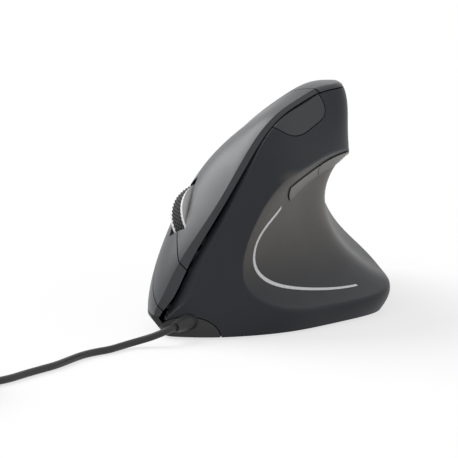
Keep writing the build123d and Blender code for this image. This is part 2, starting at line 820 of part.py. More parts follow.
# Thumb shell with its posts
thumb_additions = []
thumb_drills = [dpi_opening, side_opening, groove, chin_opening, boot_hole]
low = floor_top + press_fit
for x, y in thumb_posts:
    post = rod(x, y, low, thumb_post_top, case_post_radius)
    thumb_additions.append(trimmed_post(post, (x, y, low)))
    thumb_drills.append(rod(x, y, 0, low + case_screw_length, case_screw_shank / 2 + press_fit))
board_low = -button_board_depth - board_thickness
for x, y in button_board_screws:
    post = placed(finger, rod(x, y, -far, board_low - press_fit, boss_radius))
    start = finger.from_local_coords(Vector(x, y, board_low))
    thumb_additions.append(trimmed_post(post, (start.X, start.Y, start.Z)))
    hole = rod(x, y, board_low - boss_hole_depth, board_low, screw_shank / 2 + press_fit)
    thumb_drills.append(placed(finger, hole))
for plane, places, low, reach in ((dpi_plane, dpi_screws, dpi_low, dpi_reach),
                                  (side_plane, side_screws, side_low, side_reach)):
    for x, y in places:
        post = placed(plane, rod(x, y, low + press_fit, reach * 2, boss_radius))
        start = plane.from_local_coords(Vector(x, y, low))
        thumb_additions.append(trimmed_post(post, (start.X, start.Y, start.Z)))
        hole = rod(x, y, low, low + boss_hole_depth, screw_shank / 2 + press_fit)
        thumb_drills.append(placed(plane, hole))
nodes["thumb_shell"] = one_solid((thumb + thumb_additions) - thumb_drills)

# Palm shell with its posts
palm_additions = []
palm_drills = []
low = floor_top + press_fit
for x, y in palm_posts:
    post = rod(x, y, low, far, case_post_radius) & mid_dome
    palm_additions.append(post)
    palm_drills.append(rod(x, y, 0, low + case_screw_length, case_screw_shank / 2 + press_fit))
nodes["palm_shell"] = one_solid((palm + palm_additions) - palm_drills)

# Click plates with the ribs that press their switches
switch_top = -button_board_depth + micro_height
for name, plate, aside in (("left_button", left_plate, micro_aside), ("right_button", right_plate, -micro_aside)):
    rib = rod(micro_forward, aside, switch_top + plunger_proud + plunger_gap, skin_reach, rib_radius)
    nodes[name] = one_solid(plate + (placed(finger, rib) & mid_dome))

# Base tray: floor, left side, chin, posts, windows and screw holes
tray_envelope = envelope(wall + small_button_gap)
floor_slab = block(-far, far, -far, far, foot_height, floor_top)
side_band = block(-far, far, -far, far, foot_height, side_height)
tray_hull = hull & side_band
tray_inside = tray_hull & tray_envelope
left_rim = tray_inside - dome(wall)
tray_floor = tray_inside & floor_slab
chin = (hull & chin_zone) - (inner_envelope & above_floor)
posts = []
for x, y in main_screws:
    posts.append(rod(x, y, floor_top - 1, main_board_z, main_post_radius))
px, py = pillar_place
pillar = rod(px, py, floor_top - 1, far, boss_radius)
under_board = placed(finger, block(-far, far, -far, far, -2 * far, board_low - press_fit))
posts.append(pillar & under_board)
flange_low = -wall - flange_clear - boot_flange
flange_z = exit_z - foot_height
flange_seat = rod(0, flange_z, flange_low - press_fit, flange_low + boot_flange + press_fit,
                  boot_flange_diameter / 2 + press_fit)
tray_cuts = [boot_hole, placed(chin_plane, flange_seat)]
for x, y in main_screws:
    tray_cuts.append(rod(x, y, main_board_z - boss_hole_depth, far, screw_shank / 2 + press_fit))
seat_z = foot_height + case_seat_depth
for x, y in palm_posts + thumb_posts:
    tray_cuts.append(rod(x, y, 0, far, case_screw_shank / 2 + screw_play))
    tray_cuts.append(rod(x, y, 0, seat_z, case_screw_head / 2 + screw_play))
window = block(sensor_x - window_length / 2, sensor_x + window_length / 2,
               sensor_y - window_width / 2, sensor_y + window_width / 2, 0, far)
tray_cuts.append(window)

# Feet in shallow recesses of the floor
foot_top = foot_height + foot_recess
foot_places = {
    "nose_foot": (-14.0, -48.0, 20.0, 17.0),
    "thumb_foot": (16.0, -7.0, 22.0, 74.0),
    "heel_foot": (-11.5, 47.5, 18.0, -2.0),
    "edge_foot": (-24.0, -22.0, 20.0, 90.0),
}
for name, (x, y, length, turn) in foot_places.items():
    place = Pos(x, y, 0) * Rot(0, 0, turn)
    nodes[name] = one_solid(place * extrude(SlotOverall(length, foot_width), amount=foot_top))
    bed = SlotOverall(length + 2 * foot_gap, foot_width + 2 * foot_gap)
    tray_cuts.append(place * extrude(bed, amount=foot_top))
tray = (tray_floor + left_rim + chin + posts) - tray_cuts
nodes["base_tray"] = one_solid(tray)

# Main board, optics, ballast and socket
board_drills = []
for x, y in main_screws:
    board_drills.append(rod(x, y, 0, far, screw_shank / 2 + screw_play))
for x, y in palm_posts + thumb_posts:
    board_drills.append(rod(x, y, 0, far, case_post_radius + board_gap / 2))
board_drills.append(rod(px, py, 0, far, boss_radius + board_gap / 2))
board_drills.append(window)
socket_front = socket_y - socket_length / 2
notch_end = socket_front - lead_notch_back
board_drills.append(block(socket_x - lead_notch, socket_x + lead_notch, -far, notch_end, 0, far))
board_top = main_board_z + board_thickness
main_layer = block(-far, far, -far, far, main_board_z, board_top)
nodes["main_board"] = one_solid((board_room & main_layer) - board_drills)

half_length = window_length / 2 - window_play
half_width = window_width / 2 - window_play
lens = block(sensor_x - lens_length / 2, sensor_x + lens_length / 2,
             sensor_y - lens_width / 2, sensor_y + lens_width / 2, floor_top, floor_top + lens_flange)
lens += block(sensor_x - half_length, sensor_x + half_length, sensor_y - half_width, sensor_y + half_width,
              foot_height + board_thickness / 2, main_board_z)
nodes["sensor_lens"] = one_solid(lens)
chip = block(sensor_x - sensor_length / 2, sensor_x + sensor_length / 2,
             sensor_y - sensor_width / 2, sensor_y + sensor_width / 2, board_top, board_top + sensor_height)
eye = rod(sensor_x, sensor_y, 0, board_top + sensor_height / 2, optic_hole / 2)
nodes["sensor_chip"] = one_solid(chip - eye)
led_x = sensor_x + sensor_length / 2 + board_gap
led_z = board_top + led_diameter / 2 + led_lift
led = Pos(led_x + led_length / 2, sensor_y, led_z) * Rot(0, 90, 0) * Cylinder(led_diameter / 2, led_length)
nodes["sensor_led"] = one_solid(led)
clip_width = led_diameter + 2 * board_thickness
clip_x = led_x + led_clip_start
clip = block(clip_x, clip_x + led_clip_length, sensor_y - clip_width / 2, sensor_y + clip_width / 2,
             board_top, led_z + led_diameter / 2 + board_thickness)
clip_hole = Pos(led_x, sensor_y, led_z) * Rot(0, 90, 0) * Cylinder(led_diameter / 2 + press_fit, far)
nodes["led_clip"] = one_solid(clip - clip_hole)

ballast = block(ballast_x - ballast_width / 2, ballast_x + ballast_width / 2,
                ballast_y - ballast_length / 2, ballast_y + ballast_length / 2,
                floor_top, floor_top + ballast_thickness)
nodes["ballast_plate"] = one_solid(ballast)
socket_top = board_top + socket_height
socket = block(socket_x - socket_width / 2, socket_x + socket_width / 2,
               socket_front, socket_y + socket_length / 2, board_top, socket_top)
nodes["cable_socket"] = one_solid(socket)

# Button board with its switches, the wheel switch and the light pair of the wheel
board_block = block(-button_board_rear, button_board_front, -button_board_side, button_board_side,
                    board_low, -button_board_depth)
wheel_slot = block(-wheel_radius, wheel_radius, -slot_half_width, slot_half_width, -far, far)
above_main = block(-far, far, -far, far, board_top + button_board_clear, far)
button_board = placed(finger, board_block - wheel_slot) & board_room & above_main
holes = [placed(finger, rod(x, y, -far, 0, screw_shank / 2 + screw_play)) for x, y in button_board_screws]
nodes["button_board"] = one_solid(button_board - holes)
for name, aside in (("left", micro_aside), ("right", -micro_aside)):
    nodes[name + "_switch"] = one_solid(placed(finger, micro_switch(aside)))
    nodes[name + "_plunger"] = one_solid(placed(finger, micro_plunger(aside)))
carrier_front = wheel_radius + carrier_bar_gap
wheel_switch_x = carrier_front + carrier_bar / 2
nodes["wheel_switch"] = one_solid(placed(finger, tact_switch(wheel_switch_x, 0, -button_board_depth)))
nodes["wheel_plunger"] = one_solid(placed(finger, tact_plunger_rod(wheel_switch_x, 0, -button_board_depth)))
optic_low = -button_board_depth
hub_half = tyre_width / 2 + rim_width
for name, side in (("wheel_emitter", 1), ("wheel_receiver", -1)):
    near = hub_half + optic_gap
    sides = sorted((side * near, side * (near + optic_width)))
    body = block(-optic_length / 2, optic_length / 2, sides[0], sides[1], optic_low, optic_low + optic_height)
    nodes[name] = one_solid(placed(finger, body))

# Wheel: hub with light holes, tyre with grooves, two rims, axle
hub_radius = wheel_radius - tyre_depth
axle_radius = axle_diameter / 2
hub = cross_ring(0, -axis_depth, -hub_half, hub_half, hub_radius, axle_radius + running_fit)
holes = []
for index in range(optic_hole_count):
    turn = 2 * math.pi * index / optic_hole_count
    x = optic_radius * math.cos(turn)
    z = optic_radius * math.sin(turn) - axis_depth
    holes.append(cross_rod(x, z, -far, far, optic_hole / 2))
nodes["wheel_hub"] = one_solid(placed(finger, hub - holes))
tyre = cross_ring(0, -axis_depth, -tyre_width / 2, tyre_width / 2, wheel_radius, hub_radius + press_fit)
grooves = []
for index in range(groove_count):
    turn = 2 * math.pi * index / groove_count
    x = wheel_radius * math.cos(turn)
    z = wheel_radius * math.sin(turn) - axis_depth
    grooves.append(cross_rod(x, z, -far, far, groove_size / 2))
nodes["wheel_tyre"] = one_solid(placed(finger, tyre - grooves))
rim_radius = wheel_radius - rim_step
for name, side in (("upper_rim", 1), ("lower_rim", -1)):
    sides = sorted((side * (tyre_width / 2 + press_fit), side * hub_half))
    rim = cross_ring(0, -axis_depth, sides[0], sides[1], rim_radius, hub_radius + press_fit)
    nodes[name] = one_solid(placed(finger, rim))

# Wheel carrier on its pin, the axle it holds and the bracket on the board
arm_in = hub_half + carrier_gap
arm_out = arm_in + carrier_wall
carrier_low = -axis_depth - carrier_height / 2
carrier_high = -axis_depth + carrier_height / 2
carrier_rear = -wheel_radius - carrier_bar_gap
frame = block(carrier_step_rear, carrier_front + carrier_bar, -arm_out, arm_out, carrier_low, carrier_high)
frame += block(carrier_rear - carrier_bar, carrier_step_front, -arm_out, arm_out,
               -pin_depth - carrier_height / 2, -pin_depth + carrier_height / 2)
frame -= block(carrier_rear, carrier_front, -arm_in, arm_in, -far, far)
pin_x = carrier_rear - carrier_bar / 2
pin_radius = pin_diameter / 2
frame -= cross_rod(pin_x, -pin_depth, -far, far, pin_radius + running_fit)
frame -= cross_rod(0, -axis_depth, -far, far, axle_radius + press_fit)
nodes["wheel_carrier"] = one_solid(placed(finger, frame))
nodes["wheel_axle"] = one_solid(placed(finger, cross_rod(0, -axis_depth, -arm_out, arm_out, axle_radius)))
post_in = arm_out + post_gap
post_out = post_in + post_width
bracket = block(pin_x - post_length / 2, pin_x + post_length / 2, -post_out, post_out,
                -button_board_depth, -button_board_depth + bracket_foot)
for side in (1, -1):
    sides = sorted((side * post_in, side * post_out))
    bracket += block(pin_x - post_length / 2, pin_x + post_length / 2, sides[0], sides[1],
                     -button_board_depth, -pin_depth + post_top)
bracket -= cross_rod(pin_x, -pin_depth, -far, far, pin_radius + press_fit)
nodes["wheel_bracket"] = one_solid(placed(finger, bracket))
nodes["carrier_pin"] = one_solid(placed(finger, cross_rod(pin_x, -pin_depth, -post_out, post_out, pin_radius)))

# Boards, switches and plungers behind the small buttons
dpi_screw_x = dpi_screws[0][0]
dpi_ends = sorted(place[1] for place in dpi_screws)
dpi_board = block(dpi_x - tact_size / 2 - dpi_board_margin, dpi_screw_x + boss_radius + press_fit,
                  dpi_ends[0] - boss_radius, dpi_ends[1] + boss_radius, dpi_low - board_thickness, dpi_low)
dpi_board = board_with_holes(dpi_board, dpi_screws, dpi_low - board_thickness, dpi_low)
nodes["dpi_board"] = one_solid(placed(dpi_plane, dpi_board) & board_room)
nodes["dpi_switch"] = one_solid(placed(dpi_plane, tact_switch(dpi_x, dpi_y, dpi_low)))
nodes["dpi_plunger"] = one_solid(placed(dpi_plane, tact_plunger_rod(dpi_x, dpi_y, dpi_low)))
side_board = block(-side_board_length / 2, side_board_length / 2, side_board_shift - side_board_width / 2,
                   side_board_shift + side_board_width / 2, side_low - board_thickness, side_low)
side_board = board_with_holes(side_board, side_screws, side_low - board_thickness, side_low)
nodes["side_board"] = one_solid(placed(side_plane, side_board))
for name, (x, y) in zip(("forward", "back"), side_switch_places):
    nodes[name + "_switch"] = one_solid(placed(side_plane, tact_switch(x, y, side_low)))
    nodes[name + "_plunger"] = one_solid(placed(side_plane, tact_plunger_rod(x, y, side_low)))

# Screws
small_screws = []
for x, y in main_screws:
    small_screws.append(Pos(x, y, board_top) * board_screw())
for x, y in button_board_screws:
    small_screws.append(placed(finger, Pos(x, y, -button_board_depth) * board_screw()))
for plane, places, low in ((dpi_plane, dpi_screws, dpi_low), (side_plane, side_screws, side_low)):
    for x, y in places:
        small_screws.append(placed(plane, Pos(x, y, low - board_thickness) * Rot(180, 0, 0) * board_screw()))
nodes["board_screws"] = grouped(small_screws)
case_screws = []
for x, y in palm_posts + thumb_posts:
    one = screw(case_screw_shank, case_screw_head, screw_head_height, case_screw_length)
    case_screws.append(Pos(x, y, seat_z) * Rot(180, 0, 0) * one)
nodes["case_screws"] = grouped(case_screws)

# Ribbon from the main board up to the button board
ribbon_plane = Plane(origin=(ribbon_x, ribbon_y, 0), x_dir=(-0.74, 0.67, 0), z_dir=(0.67, 0.74, 0))
ribbon_face = band_face(ribbon_points, [ribbon_thickness] * len(ribbon_points))
ribbon = prism(ribbon_plane, ribbon_face, -ribbon_width / 2, ribbon_width / 2)
nodes["board_ribbon"] = one_solid(ribbon & under_board)

# Strain relief, the lead inside and the free cord
cord_radius = cord_diameter / 2
bore = cord_radius + cord_fit
boot = Cone(boot_diameter / 2, boot_tip_diameter / 2, boot_length)
boot = Pos(0, 0, boot_length / 2) * boot + rod(0, 0, -boot_neck, 0, boot_diameter / 2)
flange = rod(0, flange_z, flange_low, flange_low + boot_flange, boot_flange_diameter / 2)
relief = placed(exit_plane, boot) + placed(chin_plane, flange)
nodes["strain_relief"] = one_solid(relief - placed(exit_plane, rod(0, 0, -far, far, bore)))

tip = exit_plane.from_local_coords(Vector(0, 0, boot_length))
inner_bend = exit_plane.from_local_coords(Vector(0, 0, flange_low - inner_straight))
mouth_z = board_top + socket_height / 2
inner_ends = [(socket_x, socket_front - inner_last_run, mouth_z), (socket_x, socket_front, mouth_z)]
inner_points = [tuple(tip), tuple(inner_bend)] + inner_lead_points + inner_ends
after_tip = exit_plane.from_local_coords(Vector(0, 0, boot_length + first_run))
lead_points = [tuple(tip), tuple(after_tip)] + cord_points


def corded(points):
    """A round cord along straight runs joined by the largest neat arcs."""
    radii = corner_radii(points)
    print("cord radii", [round(radius, 1) for radius in radii])
    path = FilletPolyline(*points, radius=radii)
    tube = swept_tube(path, cord_radius)
    share = tube.volume / (path.length * math.pi * cord_radius ** 2)
    print("cord length", round(path.length, 1), "volume share", round(share, 4))
    return one_solid(tube)


nodes["inner_lead"] = corded(inner_points)
nodes["cord_lead"] = corded(lead_points)

# Coil and tail
keys = coil_keys()
coil_edges = []
for (place, heading), (next_place, next_heading) in zip(keys, keys[1:]):
    coil_edges.extend(biarc(place, heading, next_place, next_heading))
first_place, first_heading = keys[0]
last_place, last_heading = keys[-1]
coil_start = first_place - first_heading * cord_diameter
coil_end = last_place + last_heading * cord_diameter
coil_edges.insert(0, Edge.make_line(coil_start, first_place))
coil_edges.append(Edge.make_line(last_place, coil_end))
coil_path = Wire(coil_edges)
print("coil length", round(coil_path.length, 1), "least gap", round(least_self_gap(coil_edges), 2))
nodes["cord_coil"] = one_solid(swept_tube(coil_path, cord_radius))
plug_z = coil_height + coil_pitch * (coil_layers - 1) + cord_radius + plug_gap + plug_height / 2
plug_plane = Plane(origin=(plug_x, plug_y, plug_z), x_dir=(-0.970, 0.242, 0), z_dir=(0, 0, 1))
neck_end = plug_plane.from_local_coords(Vector(-plug_neck, 0, 0))
before_neck = plug_plane.from_local_coords(Vector(-plug_neck - tail_last_run, 0, 0))
after_coil = coil_end + last_heading * tail_first_run
tail_route = [tuple(coil_end), tuple(after_coil)] + tail_points + [tuple(before_neck), tuple(neck_end)]
nodes["cord_tail"] = corded(tail_route)

# Tie round the coil, across its turns
coil_inner_radius = coil_outer_radius - coil_pitch * (coil_turns - 0.5)
tie_in = coil_inner_radius - coil_pitch - cord_radius - tie_gap
tie_out = coil_outer_radius + coil_pitch * 0.75 + cord_radius + tie_gap
tie_low = coil_height - cord_radius - tie_gap
tie_high = coil_height + coil_pitch * (coil_layers - 1) + cord_radius + tie_gap
tie = block(tie_in - tie_thickness, tie_out + tie_thickness, -tie_width / 2, tie_width / 2,
            tie_low - tie_thickness, tie_high + tie_thickness)
tie -= block(tie_in, tie_out, -far, far, tie_low, tie_high)
nodes["cord_tie"] = one_solid(Pos(coil_x, coil_y, 0) * Rot(0, 0, tie_turn) * tie)

# Plug lying on the coil
plug_body = placed(plug_plane, block(0, plug_length, -plug_width / 2, plug_width / 2,
                                     -plug_height / 2, plug_height / 2))
plug_body = fillet(plug_body.edges(), plug_round)
neck = Pos(-plug_neck / 2, 0, 0) * Rot(0, 90, 0) * Cone(plug_neck_diameter / 2, plug_height / 2 - plug_round / 4,
                                                       plug_neck)
root = Pos(plug_round / 2, 0, 0) * Rot(0, 90, 0) * Cylinder(plug_height / 2 - plug_round / 4, plug_round)
seat = block(plug_length - contact_depth, far, -contact_width / 2 - press_fit, contact_width / 2 + press_fit,
             -contact_height / 2 - press_fit, contact_height / 2 + press_fit)
nodes["plug_body"] = one_solid(plug_body + placed(plug_plane, neck + root) - placed(plug_plane, seat))
low_x = plug_length - contact_depth + press_fit
high_x = plug_length + contact_length
shell = block(low_x, high_x, -contact_width / 2, contact_width / 2, -contact_height / 2, contact_height / 2)
inside_y = contact_width / 2 - contact_wall
inside_z = contact_height / 2 - contact_wall
shell -= block(low_x - 1, high_x + 1, -inside_y, inside_y, -inside_z, inside_z)
for side in (1, -1):
    x = plug_length + contact_length / 2
    y = side * contact_width / 4
    half = latch_hole / 2
    shell -= block(x - half, x + half, y - half, y + half, 0, far)
nodes["plug_shell"] = one_solid(placed(plug_plane, shell))
insert = block(low_x, high_x - contact_wall, -inside_y + press_fit, inside_y - press_fit,
               -inside_z + press_fit, 0)
nodes["plug_insert"] = one_solid(placed(plug_plane, insert))

for name, shape in nodes.items():
    export_step(shape, f"parts/{name}.step")
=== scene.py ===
"""Looks of a corded, sculpted hand mouse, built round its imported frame."""

import logging
import math
from dataclasses import dataclass, field
from enum import Enum
from typing import Iterator, Optional, Sequence, Union

import bpy
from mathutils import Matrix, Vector

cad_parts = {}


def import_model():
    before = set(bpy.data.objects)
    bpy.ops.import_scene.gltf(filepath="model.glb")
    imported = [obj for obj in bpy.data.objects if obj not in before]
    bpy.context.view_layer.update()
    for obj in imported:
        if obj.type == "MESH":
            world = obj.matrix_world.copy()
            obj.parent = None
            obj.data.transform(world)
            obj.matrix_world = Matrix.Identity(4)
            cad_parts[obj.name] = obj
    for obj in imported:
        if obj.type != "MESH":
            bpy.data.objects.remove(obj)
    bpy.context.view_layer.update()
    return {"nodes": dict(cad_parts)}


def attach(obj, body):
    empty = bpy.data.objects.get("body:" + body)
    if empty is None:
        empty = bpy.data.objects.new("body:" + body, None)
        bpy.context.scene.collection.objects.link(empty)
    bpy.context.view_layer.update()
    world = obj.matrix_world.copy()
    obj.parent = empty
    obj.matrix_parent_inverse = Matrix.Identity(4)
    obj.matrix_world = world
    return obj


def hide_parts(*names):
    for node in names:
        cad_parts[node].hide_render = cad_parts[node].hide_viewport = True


log = logging.getLogger("mouse")

MILLI = 0.001

Colour = tuple[float, float, float]
Place = tuple[float, float, float]
Value = Union["Wire", float]
Paint = Union["Wire", Colour]

WHITE: Colour = (1.0, 1.0, 1.0)


def metres(place: Sequence[float]) -> Vector:
    """A place given in millimetres, in metres."""
    return Vector(place) * MILLI


def opaque(colour: Colour) -> tuple[float, float, float, float]:
    """A colour with its fourth number."""
    return (*colour, 1.0)


def heading(azimuth: float, elevation: float) -> Vector:
    """The way from the mouse to something round it.

    Args:
        azimuth: Degrees round from the cord's end, towards the thumb's side.
        elevation: Degrees up from the table.

    Returns:
        A vector of length 1.
    """
    turn = math.radians(azimuth)
    rise = math.radians(elevation)
    level = math.cos(rise)
    return Vector((math.sin(turn) * level, -math.cos(turn) * level, math.sin(rise)))


class Wire:
    """A shader socket that can be used in sums, and adds its Math nodes itself."""

    def __init__(self, board: "Board", socket: bpy.types.NodeSocket) -> None:
        """Keep the socket and the board that its nodes are made on."""
        self.board = board
        self.socket = socket

    def _maths(self, operation: str, first: Value, second: Value) -> "Wire":
        """Add one Math node.

        Args:
            operation: The Math node's operation.
            first: A number or a wire.
            second: A number or a wire.

        Returns:
            The wire of the node's result.
        """
        return self.board.node("ShaderNodeMath", {"operation": operation}, {0: first, 1: second})

    def __add__(self, other: Value) -> "Wire":
        """This plus other."""
        return self._maths("ADD", self, other)

    __radd__ = __add__

    def __mul__(self, other: Value) -> "Wire":
        """This times other."""
        return self._maths("MULTIPLY", self, other)

    __rmul__ = __mul__

    def __sub__(self, other: Value) -> "Wire":
        """This less other."""
        return self._maths("SUBTRACT", self, other)

    def __rsub__(self, other: Value) -> "Wire":
        """Other less this."""
        return self._maths("SUBTRACT", other, self)


class Output(Enum):
    """What a node tree belongs to, as the type of its output node."""

    MATERIAL = "ShaderNodeOutputMaterial"
    WORLD = "ShaderNodeOutputWorld"


@dataclass(frozen=True)
class Pattern:
    """A soft random pattern: spots per metre, number of finer layers, and their strength."""

    scale: float
    detail: float
    roughness: float


class Board:
    """One node tree, of a material or of the world."""

    # Sockets of a Mix node that mixes colours
    MIX_SHARE, MIX_LOW, MIX_HIGH, MIX_RESULT = 0, 6, 7, 2

    def __init__(self, name: str, world: Optional[bpy.types.World] = None) -> None:
        """Start an empty tree.

        Args:
            name: The material's name.
            world: The world, where the tree isn't a material's.
        """
        self.owner = world or bpy.data.materials.new(name)
        self.owner.use_nodes = True
        self.tree = self.owner.node_tree
        self.tree.nodes.clear()

    def node(self, kind: str, settings: Optional[dict] = None, inputs: Optional[dict] = None,
             output: Union[int, str] = 0) -> Wire:
        """Add a node.

        Args:
            kind: The node's type.
            settings: Properties, which are set first.
            inputs: Values or wires, by socket name or number.
            output: Name or number of the output that is wanted.

        Returns:
            The wire of that output.
        """
        made = self.tree.nodes.new(kind)
        for name, value in (settings or {}).items():
            setattr(made, name, value)
        for name, value in (inputs or {}).items():
            socket = made.inputs[name]
            if isinstance(value, Wire):
                self.tree.links.new(value.socket, socket)
            else:
                socket.default_value = value
        return Wire(self, made.outputs[output])

    def place(self) -> Wire:
        """The surface point in the object's own axes."""
        return self.node("ShaderNodeTexCoord", output="Object")

    def facing(self) -> Wire:
        """The way the surface faces, in the object's own axes."""
        return self.node("ShaderNodeTexCoord", output="Normal")

    def part(self, vector: Wire, axis: str) -> Wire:
        """One number of a vector, by its axis."""
        return self.node("ShaderNodeSeparateXYZ", {}, {0: vector}, axis)

    def noise(self, pattern: Pattern) -> Wire:
        """A random pattern's value, from 0 to 1."""
        return self.node("ShaderNodeTexNoise", {}, {
            "Vector": self.place(), "Scale": pattern.scale, "Detail": pattern.detail,
            "Roughness": pattern.roughness}, "Fac")

    def ramp(self, value: Wire, low: float, high: float) -> Wire:
        """A smooth rise from 0 at low to 1 at high.

        Args:
            value: The number that is looked at.
            low: Where it starts.
            high: Where it ends.

        Returns:
            The rise's wire.
        """
        return self.node("ShaderNodeMapRange", {"interpolation_type": "SMOOTHSTEP"}, {
            "Value": value, "From Min": low, "From Max": high})

    def seen(self) -> Wire:
        """1 for the camera's own rays, mirrored rays and rays through glass, 0 for the rest."""
        kinds = ("Is Camera Ray", "Is Glossy Ray", "Is Transmission Ray")
        camera, glossy, through = (self.node("ShaderNodeLightPath", output=kind) for kind in kinds)
        return camera + glossy + through

    def blend(self, share: Wire, low: Paint, high: Paint) -> Wire:
        """A colour between two, by share.

        Args:
            share: 0 for low, 1 for high.
            low: A colour or a wire.
            high: A colour or a wire.

        Returns:
            The mixed colour.
        """
        ends = [paint if isinstance(paint, Wire) else opaque(paint) for paint in (low, high)]
        return self.node("ShaderNodeMix", {"data_type": "RGBA"}, {
            self.MIX_SHARE: share, self.MIX_LOW: ends[0], self.MIX_HIGH: ends[1]}, self.MIX_RESULT)

    def finish(self, surface: Wire, output: Output = Output.MATERIAL) -> bpy.types.ID:
        """Join the shader to the tree's output.

        Args:
            surface: The shader.
            output: What the tree belongs to.

        Returns:
            The material or the world.
        """
        out = self.tree.nodes.new(output.value)
        self.tree.links.new(surface.socket, out.inputs["Surface"])
        return self.owner


class Grain(Enum):
    """Surface textures, as (spots per metre, depth in millimetres)."""

    SOFT_TOUCH = (5200.0, 0.012)
    MOULDED = (3400.0, 0.02)
    SATIN = (2400.0, 0.006)
    SMOOTH = (900.0, 0.003)
    BRUSHED = (6500.0, 0.008)
    RUBBER = (4200.0, 0.025)
    LAMINATE = (1800.0, 0.01)


@dataclass(frozen=True)
class Wear:
    """How every surface varies in colour, gloss and height."""

    clouds: Pattern = Pattern(38.0, 3.0, 0.55)
    handling: Pattern = Pattern(110.0, 4.0, 0.62)
    grain_detail: float = 2.0
    grain_roughness: float = 0.6
    clouds_in_colour: float = 0.7
    grain_in_colour: float = 0.3
    handling_in_gloss: float = 0.12
    grain_in_gloss: float = 0.06
    bump_strength: float = 0.6
    coat_roughness: float = 0.12


WEAR = Wear()


@dataclass(frozen=True)
class PaintedHollowLight:
    """Painted light: a warm grey lightening of the thumb hollow, by the way it faces and its
    height.
    """

    # Colour of the painted light, a warm grey far lighter than the thumb side's black
    colour: Colour = (0.128, 0.12, 0.108)
    facing_from: float = -0.62
    facing_to: float = -0.36
    low: float = 9.0
    high: float = 34.0
    fade_from: float = 46.5
    fade_to: float = 50.0
    least: float = 0.85
    clouding: float = 0.3

    def share(self, board: Board, clouds: Wire) -> Wire:
        """How much of the painted light's colour a point takes.

        Args:
            board: The material's board.
            clouds: The pattern that the colour is uneven by.

        Returns:
            0 on the front wall, the head and the flange, rising to about 1 in the painted light of
            the upper hollow.
        """
        facing = board.part(board.facing(), "Y")
        height = board.part(board.place(), "Z")
        hollow = board.ramp(facing, self.facing_from, self.facing_to)
        rise = board.ramp(height, self.low * MILLI, self.high * MILLI)
        head = board.ramp(height, self.fade_from * MILLI, self.fade_to * MILLI)
        # Painted light: lighter upward in the hollow, made uneven by the clouds
        return hollow * rise * (1 - head) * (self.least + self.clouding * clouds)


@dataclass(frozen=True)
class Finish:
    """What a surface is made of, how it is worn, and any painted light on it."""

    name: str
    colour: Colour
    roughness: float
    grain: Grain
    tint: Colour = (1.06, 1.04, 1.0)
    spread: float = 0.18
    metallic: float = 0.0
    coat: float = 0.0
    clear: float = 1.0
    specular: float = 0.5
    # Painted light over part of the surface, where the finish has some
    painted_light: Optional[PaintedHollowLight] = None

    def make(self) -> bpy.types.Material:
        """Build the material.

        Returns:
            The material, coloured, roughened and grained by its own noise, with any painted light
            blended over its colour.
        """
        board = Board(self.name)
        spots, depth = self.grain.value
        clouds = board.noise(WEAR.clouds)
        fine = board.noise(Pattern(spots, WEAR.grain_detail, WEAR.grain_roughness))
        handled = board.noise(WEAR.handling)
        dark = tuple(c * (1 - self.spread / 2) for c in self.colour)
        light = tuple(c * t * (1 + self.spread / 2) for c, t in zip(self.colour, self.tint))
        mottle = clouds * WEAR.clouds_in_colour + fine * WEAR.grain_in_colour
        colour = board.blend(mottle, dark, light)
        # Painted light: the lit hollow's warm grey blended over the colour
        if self.painted_light:
            colour = board.blend(self.painted_light.share(board, clouds), colour, self.painted_light.colour)
        uneven = (handled - 0.5) * WEAR.handling_in_gloss
        rough = self.roughness + uneven + (fine - 0.5) * WEAR.grain_in_gloss
        bump = board.node("ShaderNodeBump", {}, {
            "Strength": WEAR.bump_strength, "Distance": depth * MILLI, "Height": fine}, "Normal")
        surface = board.node("ShaderNodeBsdfPrincipled", {}, {
            "Base Color": colour, "Roughness": rough, "Metallic": self.metallic,
            "Coat Weight": self.coat, "Coat Roughness": WEAR.coat_roughness,
            "Specular IOR Level": self.specular, "Alpha": self.clear, "Normal": bump})
        return board.finish(surface)


COOL: Colour = (1.0, 1.02, 1.06)

SHELL = Finish("soft_touch_black", (0.031, 0.033, 0.038), 0.4, Grain.SOFT_TOUCH, tint=COOL)
# Thumb side: the shell's soft-touch black painted darker as painted shade, with painted light in
# its hollow
THUMB_SIDE = Finish("soft_touch_painted_shade_and_light", (0.021, 0.023, 0.028), 0.46, Grain.SOFT_TOUCH,
                    tint=COOL, specular=0.32, painted_light=PaintedHollowLight())
BASE = Finish("moulded_black", (0.022, 0.022, 0.023), 0.5, Grain.MOULDED)
# Side buttons: painted light, coloured the warm light grey of the lit hollow round them
SIDE_BUTTON = Finish("satin_painted_light_grey", (0.085, 0.08, 0.073), 0.36, Grain.SATIN)
STRIPE = Finish("silver_lacquer", (0.80, 0.81, 0.86), 0.28, Grain.SMOOTH,
                metallic=0.1, coat=0.5, spread=0.06)
FOOT = Finish("slick_pad", (0.02, 0.02, 0.02), 0.3, Grain.SATIN)
TYRE = Finish("knurled_rubber", (0.012, 0.012, 0.013), 0.6, Grain.RUBBER)
RIM = Finish("bright_plating", (0.86, 0.86, 0.88), 0.24, Grain.SMOOTH, metallic=0.3, spread=0.05)
HUB = Finish("wheel_disc", (0.42, 0.42, 0.43), 0.35, Grain.SATIN)
CARRIER = Finish("wheel_plastic", (0.03, 0.03, 0.032), 0.42, Grain.SATIN)
CORD = Finish("cord_jacket", (0.02, 0.02, 0.021), 0.42, Grain.SATIN)
PLUG = Finish("plug_overmould", (0.022, 0.022, 0.024), 0.4, Grain.MOULDED)
STEEL = Finish("plated_steel", (0.56, 0.56, 0.57), 0.3, Grain.BRUSHED, metallic=1.0, spread=0.1)
BOARD = Finish("solder_mask", (0.008, 0.03, 0.016), 0.34, Grain.LAMINATE, coat=0.3)
CASE = Finish("moulded_case", (0.018, 0.018, 0.02), 0.45, Grain.MOULDED)
